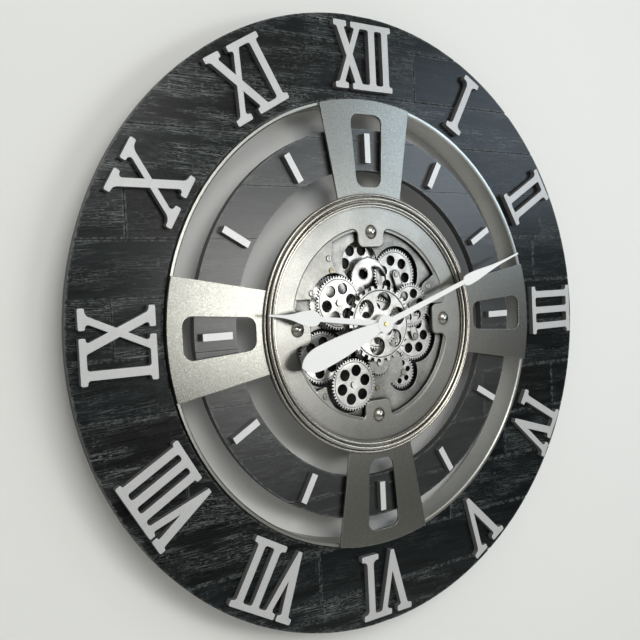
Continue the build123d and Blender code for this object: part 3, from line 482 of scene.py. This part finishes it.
# Lengths in mm
bezelLook = {
    "rim": 5.0, "lip": 2.6,           # over the spokes and over the ring plate
    "rimRise": 0.8, "mainRise": 1.6, "innerRise": 0.6, "lipThickness": 1.5,
    "rimBead": 1.3, "mainBead": 2.1, "innerBead": 1.7, "beadGap": 0.45,
    "beadSteps": 18, "turnSteps": 480, "smoothAngle": 35,
}


def beadArc(start, base, radius):
    # Half circle over the bead, from its outer foot to its inner one
    swing = np.linspace(0, np.pi, bezelLook["beadSteps"])
    return np.column_stack([start - radius + radius * np.cos(swing), base + radius * np.sin(swing)])


def bezelProfile():
    # From the back over the spokes, the three beads and the lip on the ring plate to the back again
    inner, outer = radiiOf("bezel")
    back = heightsOf("bezel")[0]
    spokeFront = heightsOf("spoke_12")[1]
    plateFront = heightsOf("ring_plate")[1]
    look = bezelLook
    rimTop = spokeFront + look["rimRise"]
    mainStart = outer - 2 * look["rimBead"] - look["beadGap"]
    innerStart = mainStart - 2 * look["mainBead"] - look["beadGap"]
    innerBase = rimTop + look["innerRise"]
    lipTop = plateFront + look["lipThickness"]
    foot = innerStart - 2 * look["innerBead"]
    return np.concatenate([
        [(outer - look["rim"], back), (outer - look["rim"], spokeFront), (outer, spokeFront)],
        beadArc(outer, rimTop, look["rimBead"]),
        [(mainStart, rimTop)],
        beadArc(mainStart, rimTop + look["mainRise"], look["mainBead"]),
        [(mainStart - 2 * look["mainBead"], innerBase)],
        beadArc(innerStart, innerBase, look["innerBead"]),
        [(foot, lipTop), (inner, lipTop), (inner, plateFront), (inner + look["lip"], plateFront),
         (inner + look["lip"], back)],
    ])


def makeBezel():
    points, faces = turnedRing(bezelProfile(), bezelLook["turnSteps"])
    bezel = addPiece("bezelRing", points, faces, looks["silver"], "bezel")
    shadeSmooth(bezel, bezelLook["smoothAngle"])


makeBezel()

rivetLook = {"radius": 7.0, "count": 4, "rows": 14, "turnSteps": 48, "smoothAngle": 50}      # radius in mm


def makeRivets():
    # Sphere cap over each rivet: rings at equal angles from the pole, on a sphere whose radius is
    # (r squared + rise squared) / twice the rise, with a flat base in the plate's face
    low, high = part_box("rivets")
    plateFront = heightsOf("ring_plate")[1]
    rise = -low.y * perMetre - plateFront
    reach = (high.x - low.x) / 2 * perMetre - rivetLook["radius"]
    sphere = (rivetLook["radius"] ** 2 + rise ** 2) / (2 * rise)
    rows, steps = rivetLook["rows"], rivetLook["turnSteps"]
    lean = np.linspace(0, math.asin(rivetLook["radius"] / sphere), rows + 1)[1:, None]
    turn = np.linspace(0, 2 * np.pi, steps, endpoint=False)[None, :]
    ring = sphere * np.sin(lean)
    height = plateFront + rise - sphere + sphere * np.cos(lean)
    cap = np.stack(np.broadcast_arrays(ring * np.sin(turn), -height, ring * np.cos(turn)), axis=-1)
    cap = np.concatenate([cap.reshape(-1, 3), [(0, -plateFront - rise, 0), (0, -plateFront, 0)]])
    index = np.arange(rows * steps).reshape(rows, steps)
    along = np.roll(index, -1, axis=1)
    pole, foot = rows * steps, rows * steps + 1
    sides = np.stack([index[:-1], along[:-1], along[1:], index[1:]], axis=-1).reshape(-1, 4)
    top = np.stack([np.full(steps, pole), along[0], index[0]], axis=-1)
    base = np.stack([np.full(steps, foot), index[-1], along[-1]], axis=-1)
    points, faces = [], []
    for rivet in range(rivetLook["count"]):
        bearing = rivet * 2 * np.pi / rivetLook["count"]
        middle = np.array([reach * math.sin(bearing), 0, reach * math.cos(bearing) - dialDrop * perMetre])
        points.append((cap + middle) / perMetre)
        for patch in (sides, top, base):
            faces += (patch + rivet * len(cap)).tolist()
    domes = addPiece("rivetDomes", np.concatenate(points), faces, looks["silver"], "rivets")
    shadeSmooth(domes, rivetLook["smoothAngle"])


makeRivets()
print("bezel and rivets turned")

# Lengths in mm, seams above the dial axis and joints to its right, by row from the bottom
plankRows = {
    "seams": [-300, -261, -213, -160.5, -112, -62, -12.5, 35.6, 84.5, 132, 179, 223, 272, 300],
    "edge": 0.3, "edgeSteps": 2, "edgeAngle": 50,      # rounding of the plank edges
    "relief": 1.0,        # planks stand this far over the board that carries them
    "inset": 0.03,        # kept inside the solid's edge
    "least": 1.0,         # narrower planks are left out
    "weld": 0.02,
    "columns": 44, "rows": 7, "turnSteps": 240,
}
boardPlanks = {
    "seed": 7, "groove": 0.42,      # half the gap between two planks
    "joints": {1: [-75], 2: [95], 3: [-205, 180], 4: [262], 6: [-262], 7: [238], 8: [-246, 252],
               10: [-30], 11: [68]},
}
ringPlanks = {"seed": 21, "groove": 0.22, "joints": {2: [-20], 4: [150], 9: [42]}}


def endGrid(low, high, inner, outer, start, end):
    # Plank over the top or bottom: x runs along it, closer together at both ends, and y from the higher of
    # its seam and the inner circle to the lower of its other seam and the outer circle
    sign = 1 if low + high > 0 else -1
    near, far = (low, high) if sign > 0 else (-high, -low)
    reach = math.sqrt(outer ** 2 - near ** 2) - plankRows["inset"]
    first, last = max(start, -reach), min(end, reach)
    wave = 0.5 - 0.5 * np.cos(np.linspace(0, np.pi, plankRows["columns"]))
    x = first + (last - first) * wave
    bottom = np.maximum(near, np.sqrt(np.maximum(inner ** 2 - x ** 2, 0)))
    top = np.minimum(far, np.sqrt(outer ** 2 - x ** 2))
    y = sign * (bottom + (top - bottom) * np.linspace(0, 1, plankRows["rows"])[:, None])
    return np.stack([np.broadcast_to(x, y.shape), y], axis=-1)


def sideGrid(low, high, inner, outer, side, start, end):
    # Plank at the side: y runs between its seams, and x from the inner circle to the outer one, within its joints
    y = np.linspace(low, high, plankRows["columns"])[:, None]
    near = np.clip(np.sqrt(inner ** 2 - y ** 2), start, end)
    far = np.clip(np.sqrt(outer ** 2 - y ** 2), start, end)
    x = side * (near + (far - near) * np.linspace(0, 1, plankRows["rows"])[None, :])
    return np.stack([x, np.broadcast_to(y, x.shape)], axis=-1)


def plankEnds(first, cuts, last, gap):
    # Start and end of each plank in a row, half a groove clear of the joints between them
    return zip([first] + [cut + gap for cut in cuts], [cut - gap for cut in cuts] + [last])


def plankGrids(inner, outer, gap, joints):
    seams = plankRows["seams"]
    grids = []
    for row, (low, high) in enumerate(zip(seams[:-1], seams[1:])):
        low, high = max(low, -outer) + gap, min(high, outer) - gap
        if high - low < plankRows["least"]:
            continue
        cuts = sorted(joints.get(row, []))
        if max(abs(low), abs(high)) < inner:
            for side in (-1, 1):
                sideCuts = sorted(abs(cut) for cut in cuts if cut * side > 0)
                for start, end in plankEnds(0.0, sideCuts, outer, gap):
                    grids.append(sideGrid(low, high, inner, outer, side, start, end))
        else:
            for start, end in plankEnds(-outer, cuts, outer, gap):
                grids.append(endGrid(low, high, inner, outer, start, end))
    return grids


def finishPlanks(board):
    # Loose edges joined, thickness behind the face, rounded edges
    weld = board.modifiers.new("weld", "WELD")
    weld.merge_threshold = plankRows["weld"] / perMetre
    solid = board.modifiers.new("thickness", "SOLIDIFY")
    solid.thickness = plankRows["relief"] / perMetre
    solid.offset = -1.0
    bevel = board.modifiers.new("edges", "BEVEL")
    bevel.width = plankRows["edge"] / perMetre
    bevel.segments = plankRows["edgeSteps"]
    bevel.limit_method = "ANGLE"
    bevel.angle_limit = math.radians(plankRows["edgeAngle"])


def makePlanks(name, node, look, wood):
    # Planks cut to the ring, each with three random numbers of its own, over the board that closes the seams
    low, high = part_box(node)
    inner = radiiOf(node)[0] + plankRows["inset"]
    outer = min(high.x - low.x, high.z - low.z) / 2 * perMetre - plankRows["inset"]
    back, front = heightsOf(node)
    random = np.random.default_rng(look["seed"])
    points, faces, tones = [], [], []
    base = 0
    for grid in plankGrids(inner, outer, look["groove"], look["joints"]):
        x, z = grid.reshape(-1, 2).T
        quads = gridFaces(*grid.shape[:2])
        corner, along, across = quads[:, 0], quads[:, 1], quads[:, 2]
        area = (x[along] - x[corner]) * (z[across] - z[corner]) - (z[along] - z[corner]) * (x[across] - x[corner])
        if area.sum() < 0:
            quads = quads[:, ::-1]      # so that every plank faces the front
        points.append(np.column_stack([x, np.full(len(x), -front), z - dialDrop * perMetre]) / perMetre)
        faces += (quads + base).tolist()
        tones.append(np.tile(random.random(3), (len(x), 1)))
        base += len(x)
    board = addPiece(name, np.concatenate(points), faces, wood, node)
    tone = board.data.attributes.new("plankTone", "FLOAT_VECTOR", "POINT")
    tone.data.foreach_set("vector", np.concatenate(tones).astype(np.float32).ravel())
    finishPlanks(board)
    top = front - plankRows["relief"]
    profile = np.array([(inner, back), (outer, back), (outer, top), (inner, top)])
    points, faces = turnedRing(profile, plankRows["turnSteps"])
    addPiece(name + "Sheet", points, faces, looks["fibreboard"], node)


woodLook = {
    "dark": (0.0014, 0.0021, 0.0022), "light": (0.0095, 0.0124, 0.0130), "crack": (0.0015, 0.0015, 0.0015),
    "wear": (0.285, 0.315, 0.312), "warm": (1.15, 0.98, 0.90), "cool": (0.92, 1.0, 1.06),
    "tilt": 0.07,                               # slope of the grain of the most tilted plank
    "toneShift": 1.9, "hueShift": 3.1,          # metres that set the planks' grain apart, across and along
    "swayStretch": (6, 6, 9), "swayDetail": 2.0, "sway": 0.010,      # sway in metres
    "patchSpread": (0.43, 0.66), "patchLeast": 0.03,
    "figureSpread": (0.34, 0.70), "crackSpread": (0.29, 0.35), "hueSpread": (0.15, 0.5),
    "toneWear": (0.15, 1.15),                   # wear of the least and most worn plank
    "fadeFrom": (-0.05, 0.22), "fade": (1.0, 0.35),      # metres along X, and the wear that is left there
    "chipRadius": 0.003, "chipNoise": (260.0, 3.0, 0.7), "chipSpread": (0.42, 0.62), "chipMost": 0.45,
    "wornAt": 0.6, "wornRough": 0.45,
    "streakRise": 0.5, "bump": 0.2, "bumpDepth": 0.0005,
    "board": {"gloss": 0.26, "smooth": 0.22, "worn": 1.0},
    "ring": {"gloss": 1.0, "smooth": 0.31, "worn": 0.5},
}
# Stretch along X, Y and Z, then detail, roughness and distortion
woodNoises = {
    "figure": ((5, 1, 110), 6.0, 0.68, 0.4),
    "streak": ((34, 1, 1250), 4.0, 0.74),
    "speck": ((230, 1, 1250), 2.0, 0.6),
    "scratch": ((4, 1, 420), 3.0, 0.6),
    "patch": ((13, 1, 62), 4.0, 0.62),
    "crack": ((6, 1, 230), 2.0, 0.5),
}
# Noise at which a mark begins and is full, and how strong it is then
wearMarks = {"streak": (0.515, 0.63, 0.95), "speck": (0.55, 0.66, 0.85), "scratch": (0.62, 0.70, 0.7)}


def plankGrain(tree, whole, place, tone, tilt, hue):
    # Object coordinates with a slope, a slow sway and a shift of their own on every plank
    look = woodLook
    sway = noiseNode(tree, stretch(tree, whole, look["swayStretch"]), 1.0, look["swayDetail"])
    sway = mathNode(tree, "MULTIPLY", sway, look["sway"])
    slope = mathNode(tree, "MULTIPLY", mathNode(tree, "SUBTRACT", tilt, 0.5), 2 * look["tilt"])
    across = mathNode(tree, "ADD", place["Z"], mathNode(tree, "MULTIPLY", place["X"], slope))
    across = mathNode(tree, "ADD", across, sway)
    across = mathNode(tree, "ADD", across, mathNode(tree, "MULTIPLY", tone, look["toneShift"]))
    along = mathNode(tree, "ADD", place["X"], mathNode(tree, "MULTIPLY", hue, look["hueShift"]))
    point = tree.nodes.new("ShaderNodeCombineXYZ")
    tree.links.new(along, point.inputs["X"])
    tree.links.new(across, point.inputs["Z"])
    return point.outputs[0]


def plankWear(tree, noises, whole, place, tone, most):
    # The strongest of streaks, specks and scratches, kept to patches and faded to the right, and chipped edges
    look = woodLook
    patches = mapRange(tree, noises["patch"], *look["patchSpread"], look["patchLeast"] * most, most)
    wear = 0.0
    for mark, (begin, full, strength) in wearMarks.items():
        shown = mathNode(tree, "MULTIPLY", mapRange(tree, noises[mark], begin, full, 0.0, strength), patches)
        wear = mathNode(tree, "MAXIMUM", wear, shown)
    wear = mathNode(tree, "MULTIPLY", wear, mapRange(tree, tone, 0, 1, *look["toneWear"]), clamp=True)
    wear = mathNode(tree, "MULTIPLY", wear, mapRange(tree, place["X"], *look["fadeFrom"], *look["fade"]))
    worn = placeGroup(tree, edgeWearAndHollowShade, Edge_Radius=look["chipRadius"])
    chips = noiseNode(tree, whole, *look["chipNoise"])
    chips = mapRange(tree, chips, *look["chipSpread"], 0.0, look["chipMost"])
    return mathNode(tree, "MAXIMUM", wear, mathNode(tree, "MULTIPLY", worn.outputs["Edge"], chips))


def makePlankWood(name, sheen):
    # Near-black stain with cracks under pale wear, toned by each plank's three random numbers
    look = woodLook
    material, tree, shader = newMaterial(name, look["dark"], sheen["smooth"])
    own = tree.nodes.new("ShaderNodeAttribute")
    own.attribute_name = "plankTone"
    tone, tilt, hue = splitVector(tree, own.outputs["Vector"])
    whole, place = objectPlace(tree)
    grain = plankGrain(tree, whole, place, tone, tilt, hue)
    noises = {key: noiseNode(tree, stretch(tree, grain, scale), 1.0, *rest)
              for key, (scale, *rest) in woodNoises.items()}
    wear = plankWear(tree, noises, whole, place, tone, sheen["worn"])
    stain = mixColor(tree, mapRange(tree, noises["figure"], *look["figureSpread"]), look["dark"], look["light"])
    stain = mixColor(tree, mapRange(tree, noises["crack"], *look["crackSpread"]), look["crack"], stain)
    hued = mixColor(tree, mapRange(tree, hue, *look["hueSpread"]), look["warm"], look["cool"])
    stain = mixColor(tree, 1.0, stain, hued, "MULTIPLY")
    tree.links.new(mixColor(tree, wear, stain, look["wear"]), shader.inputs["Base Color"])
    shader.inputs["Specular IOR Level"].default_value = sheen["gloss"]
    rough = mapRange(tree, wear, 0.0, look["wornAt"], sheen["smooth"], look["wornRough"])
    tree.links.new(rough, shader.inputs["Roughness"])
    height = mathNode(tree, "MULTIPLY", noises["streak"], look["streakRise"])
    height = mathNode(tree, "ADD", noises["figure"], height)
    tree.links.new(bumpNode(tree, height, look["bump"], look["bumpDepth"]), shader.inputs["Normal"])
    return material


makePlanks("boardPlanks", "outer_board", boardPlanks, makePlankWood("boardWood", woodLook["board"]))
makePlanks("ringPlanks", "inner_ring", ringPlanks, makePlankWood("ringWood", woodLook["ring"]))
print("plank rings made")

# Lengths in metres
stageLook = {
    "wallGap": 0.002, "wallHalf": (3, 2), "wallColor": (0.79, 0.795, 0.785), "wallRough": 0.75,
    "floorDrop": 1.15, "floorHalf": 2, "floorColor": (0.72, 0.72, 0.71), "floorRough": 0.7,
}


def stagePlane(name, corners, material):
    mesh = bpy.data.meshes.new(name)
    mesh.from_pydata(corners, [], [(0, 1, 2, 3)])
    mesh.materials.append(material)
    plane = bpy.data.objects.new(name, mesh)
    scene.collection.objects.link(plane)


def makeWallPaint():
    # Solid to the camera and to reflections from the front only, so that the clock's back can be seen and lit
    material, tree, shader = newMaterial("wallPaint", stageLook["wallColor"], stageLook["wallRough"])
    path = tree.nodes.new("ShaderNodeLightPath")
    face = tree.nodes.new("ShaderNodeNewGeometry")
    clear = tree.nodes.new("ShaderNodeBsdfTransparent")
    mix = tree.nodes.new("ShaderNodeMixShader")
    front = mathNode(tree, "SUBTRACT", 1.0, face.outputs["Backfacing"])
    seen = mathNode(tree, "MAXIMUM", path.outputs["Is Camera Ray"], path.outputs["Is Glossy Ray"])
    tree.links.new(mathNode(tree, "MULTIPLY", front, seen), mix.inputs[0])
    tree.links.new(clear.outputs[0], mix.inputs[1])
    tree.links.new(shader.outputs[0], mix.inputs[2])
    tree.links.new(mix.outputs[0], tree.nodes["Material Output"].inputs["Surface"])
    return material


def makeStage():
    wide, tall = stageLook["wallHalf"]
    wallY = stageLook["wallGap"]
    wallCorners = [(-wide, wallY, -tall), (wide, wallY, -tall), (wide, wallY, tall), (-wide, wallY, tall)]
    stagePlane("wall", wallCorners, makeWallPaint())
    half = stageLook["floorHalf"]
    floorZ = -dialDrop - stageLook["floorDrop"]
    floorCorners = [(-half, -half, floorZ), (half, -half, floorZ), (half, half, floorZ), (-half, half, floorZ)]
    floorPaint = newMaterial("floorPaint", stageLook["floorColor"], stageLook["floorRough"])[0]
    stagePlane("floor", floorCorners, floorPaint)


makeStage()

# Directions are degrees to the viewer's right of the dial's normal, then up; lengths in metres, power in watts
lamps = {
    "glintBox": {"toward": (26.5, 0.6), "distance": 1.5, "size": (0.54, 0.36), "power": 4.0,
                 "color": (1.0, 0.99, 0.955)},
    "frontFill": {"toward": (-5, 27), "distance": 2.0, "size": (1.4, 1.0), "power": 18.5,
                  "color": (0.985, 1.0, 0.975)},
    "windowBox": {"toward": (50, 15), "distance": 1.8, "size": (0.7, 0.55), "power": 3.6,
                  "color": (0.68, 0.84, 1.0)},
    "rearFill": {"toward": (200, 25), "distance": 2.0, "size": (1.6, 1.6), "power": 15.0,
                 "color": (1.0, 1.0, 1.0)},
}


def makeLamp(name, look):
    azimuth, elevation = (math.radians(angle) for angle in look["toward"])
    level = math.cos(elevation)
    direction = Vector((math.sin(azimuth) * level, -math.cos(azimuth) * level, math.sin(elevation)))
    data = bpy.data.lights.new(name, "AREA")
    data.shape = "RECTANGLE"
    data.size, data.size_y = look["size"]
    data.energy = look["power"]
    data.color = look["color"]
    lamp = bpy.data.objects.new(name, data)
    scene.collection.objects.link(lamp)
    lamp.location = dialCenter + direction * look["distance"]
    lamp.rotation_euler = (-direction).to_track_quat("-Z", "Y").to_euler()


for name, look in lamps.items():
    makeLamp(name, look)

roomLook = {
    "bright": (-0.45, -0.20, 0.87),      # direction of the brightest part
    "lean": (-0.27, 0.80),               # cosine to that direction, at the low and the high strength
    "strength": (0.06, 0.62), "tint": (1.0, 0.98, 0.93),
}


def makeRoom():
    # Strength follows how far a direction leans to the bright upper left
    world = bpy.data.worlds.new("room")
    scene.world = world
    world.use_nodes = True
    tree = world.node_tree
    coords = tree.nodes.new("ShaderNodeTexCoord")
    lean = tree.nodes.new("ShaderNodeVectorMath")
    lean.operation = "DOT_PRODUCT"
    lean.inputs[1].default_value = roomLook["bright"]
    tree.links.new(coords.outputs["Generated"], lean.inputs[0])
    background = tree.nodes["Background"]
    background.inputs["Color"].default_value = (*roomLook["tint"], 1)
    strength = mapRange(tree, lean.outputs["Value"], *roomLook["lean"], *roomLook["strength"])
    tree.links.new(strength, background.inputs["Strength"])


makeRoom()

cameraLook = {
    "place": (-0.46729, -0.64242, 0.03783),    # from the dial's centre on the wall, metres
    "turn": (-0.0261, 0.0590, -0.5875),        # rotation vector from straight-on, radians
    "lens": 43.657, "sensor": 36.0,            # mm
    "clipStart": 0.01,
}


def makeCamera():
    data = bpy.data.cameras.new("camera")
    data.sensor_width = cameraLook["sensor"]
    data.lens = cameraLook["lens"]
    data.clip_start = cameraLook["clipStart"]
    camera = bpy.data.objects.new("camera", data)
    scene.collection.objects.link(camera)
    turn = Vector(cameraLook["turn"])
    right, ahead, up = Matrix.Rotation(turn.length, 3, turn.normalized()).col
    basis = Matrix((right, up, -ahead)).transposed()
    place = Vector(cameraLook["place"]) - Vector((0, 0, dialDrop))
    camera.matrix_world = Matrix.Translation(place) @ basis.to_4x4()
    scene.camera = camera


makeCamera()
print("stage, lamps and camera set")
